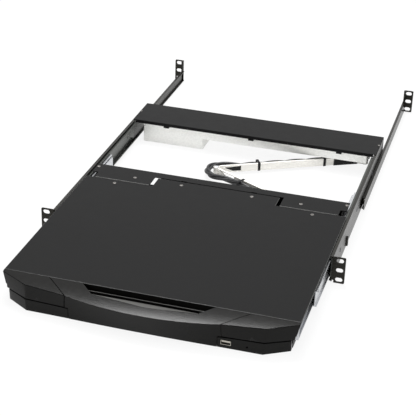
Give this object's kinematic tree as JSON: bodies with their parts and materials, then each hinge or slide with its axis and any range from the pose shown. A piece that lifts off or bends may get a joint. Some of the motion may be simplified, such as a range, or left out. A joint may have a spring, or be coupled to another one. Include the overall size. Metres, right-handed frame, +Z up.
{
  "type": "rackmount lcd console drawer",
  "caption": "Sliding one-unit rack drawer with a keyboard under a hinged flat display lid, a moulded finger-grip front, ball slides, a folding cable arm and sliding rear brackets.",
  "frame": {"origin": "centre of the front rack hole pattern, on the front plane of the front ears", "axes": "+X to the right seen from the front, +Y towards the back of the rack, +Z up"},
  "size_m": [0.482, 0.9253, 0.0447],
  "materials": {
    "black_steel": "fine-textured satin black powder coat",
    "black_plastic": "fine-grained black moulding",
    "zinc": "zinc-plated rolled steel",
    "zinc_panel": "bright galvanised sheet",
    "screw": "plain screw heads",
    "dark_screw": "black zinc",
    "rivet": "tinned rivet heads",
    "connector": "plated connector shells",
    "board": "solder-masked circuit board",
    "key": "matte key caps",
    "touchpad": "smooth matte pad",
    "screen": "dark anti-glare screen",
    "cable": "soft black jacket",
    "strap": "black straps"
  },
  "bodies": {
    "frame": {"outer_rail_left": "black_steel", "outer_rail_right": "black_steel", "bracket_glides": "black_plastic", "slide_outer_left": "zinc", "slide_outer_right": "zinc", "slide_screws": "dark_screw", "rear_cover": "black_steel", "cover_screws": "screw", "kvm_enclosure": "zinc_panel", "cable_duct": "zinc_panel", "power_inlet": "black_plastic", "power_switch_frame": "black_plastic", "console_port": "connector", "main_board": "board", "arm_rear_bracket": "zinc"},
    "rocker": {"power_rocker": "black_plastic"},
    "bracket_left": {"rear_bracket_left": "black_steel"},
    "bracket_right": {"rear_bracket_right": "black_steel"},
    "middle_left": {"slide_middle_left": "zinc"},
    "middle_right": {"slide_middle_right": "zinc"},
    "drawer": {"tray": "black_steel", "slide_inner_left": "zinc", "slide_inner_right": "zinc", "slide_rivets": "rivet", "hinge_bar": "black_steel", "hinge_pins": "zinc", "bar_screws": "screw", "handle": "black_plastic", "lower_bezel_left": "black_plastic", "lower_bezel_right": "black_plastic", "usb_port": "connector", "keyboard_deck": "black_plastic", "touchpad": "touchpad"},
    "pad_left": {"touchpad_button_left": "key"},
    "pad_right": {"touchpad_button_right": "key"},
    "lid": {"lid_cover": "black_steel", "lid_bezel_left": "black_plastic", "lid_bezel_right": "black_plastic", "lid_screws": "screw", "hinge_arms": "zinc", "display_bezel": "black_plastic", "lcd_panel": "screen"},
    "menu_1": {"menu_button_1": "key"},
    "menu_2": {"menu_button_2": "key"},
    "power": {"power_button": "key"},
    "arm_rear": {"arm_link_rear": "zinc_panel", "elbow_pin": "zinc", "cable_rear": "cable", "cable_loop": "cable", "cable_straps_rear": "strap"},
    "arm_front": {"arm_link_front": "zinc_panel", "arm_front_pin": "zinc", "cable_front": "cable", "cable_straps_front": "strap"},
    "keys_1": {"key_row_1": "key"},
    "keys_2": {"key_row_2": "key"},
    "keys_3": {"key_row_3": "key"},
    "keys_4": {"key_row_4": "key"},
    "keys_5": {"key_row_5": "key"},
    "keys_6": {"key_row_6": "key"}
  },
  "joints": [
    {"name": "drawer_slide", "type": "slide", "parent": "frame", "child": "drawer", "axis": [0, -1, 0], "range_m": [-0.19, 0.15]},
    {"name": "slide_middle_left_run", "type": "slide", "parent": "frame", "child": "middle_left", "axis": [0, -1, 0], "range_m": [-0.095, 0.075]},
    {"name": "slide_middle_right_run", "type": "slide", "parent": "frame", "child": "middle_right", "axis": [0, -1, 0], "range_m": [-0.095, 0.075]},
    {"name": "arm_swing", "type": "hinge", "parent": "frame", "child": "arm_rear", "pos_m": [0.197, 0.421, -0.0115], "axis": [0, 0, 1], "range_deg": [-23.2, 18.4]},
    {"name": "arm_elbow", "type": "hinge", "parent": "arm_rear", "child": "arm_front", "pos_m": [-0.03923, 0.29025, -0.0115], "axis": [0, 0, 1], "range_deg": [-36.6, 46.3], "deforming": ["cable_loop"]},
    {"name": "lid_hinge", "type": "hinge", "parent": "drawer", "child": "lid", "pos_m": [0, 0.156, 0.0165], "axis": [-1, 0, 0], "range_deg": [0, 110]},
    {"name": "rear_bracket_left_run", "type": "slide", "parent": "frame", "child": "bracket_left", "axis": [0, 1, 0], "range_m": [-0.05, 0.15]},
    {"name": "rear_bracket_right_run", "type": "slide", "parent": "frame", "child": "bracket_right", "axis": [0, 1, 0], "range_m": [-0.05, 0.15]},
    {"name": "key_row_1_press", "type": "slide", "parent": "drawer", "child": "keys_1", "axis": [0, 0, -1], "range_m": [0, 0.0024], "stiffness_N_per_m": 400, "springref_m": -0.0015},
    {"name": "key_row_2_press", "type": "slide", "parent": "drawer", "child": "keys_2", "axis": [0, 0, -1], "range_m": [0, 0.0024], "stiffness_N_per_m": 400, "springref_m": -0.0015},
    {"name": "key_row_3_press", "type": "slide", "parent": "drawer", "child": "keys_3", "axis": [0, 0, -1], "range_m": [0, 0.0024], "stiffness_N_per_m": 400, "springref_m": -0.0015},
    {"name": "key_row_4_press", "type": "slide", "parent": "drawer", "child": "keys_4", "axis": [0, 0, -1], "range_m": [0, 0.0024], "stiffness_N_per_m": 400, "springref_m": -0.0015},
    {"name": "key_row_5_press", "type": "slide", "parent": "drawer", "child": "keys_5", "axis": [0, 0, -1], "range_m": [0, 0.0024], "stiffness_N_per_m": 400, "springref_m": -0.0015},
    {"name": "key_row_6_press", "type": "slide", "parent": "drawer", "child": "keys_6", "axis": [0, 0, -1], "range_m": [0, 0.0024], "stiffness_N_per_m": 400, "springref_m": -0.0015},
    {"name": "touchpad_button_left_press", "type": "slide", "parent": "drawer", "child": "pad_left", "axis": [0, 0, -1], "range_m": [0, 0.001], "stiffness_N_per_m": 300, "springref_m": -0.001},
    {"name": "touchpad_button_right_press", "type": "slide", "parent": "drawer", "child": "pad_right", "axis": [0, 0, -1], "range_m": [0, 0.001], "stiffness_N_per_m": 300, "springref_m": -0.001},
    {"name": "menu_button_1_press", "type": "slide", "parent": "lid", "child": "menu_1", "axis": [0, 0, 1], "range_m": [0, 0.0008], "stiffness_N_per_m": 300, "springref_m": -0.001},
    {"name": "menu_button_2_press", "type": "slide", "parent": "lid", "child": "menu_2", "axis": [0, 0, 1], "range_m": [0, 0.0008], "stiffness_N_per_m": 300, "springref_m": -0.001},
    {"name": "power_button_press", "type": "slide", "parent": "lid", "child": "power", "axis": [0, 0, 1], "range_m": [0, 0.0008], "stiffness_N_per_m": 300, "springref_m": -0.001},
    {"name": "power_rocker_tip", "type": "hinge", "parent": "frame", "child": "rocker", "pos_m": [-0.13, 0.45, 0], "axis": [0, 0, 1], "range_deg": [0, 14]}
  ],
  "couplings": [
    {"joint": "slide_middle_left_run", "follows": "drawer_slide", "ratio": 0.5},
    {"joint": "slide_middle_right_run", "follows": "drawer_slide", "ratio": 0.5},
    {"joint": "arm_swing", "follows": "drawer_slide", "rad_per_m": 2.1166},
    {"joint": "arm_elbow", "follows": "drawer_slide", "rad_per_m": -4.2332}
  ]
}
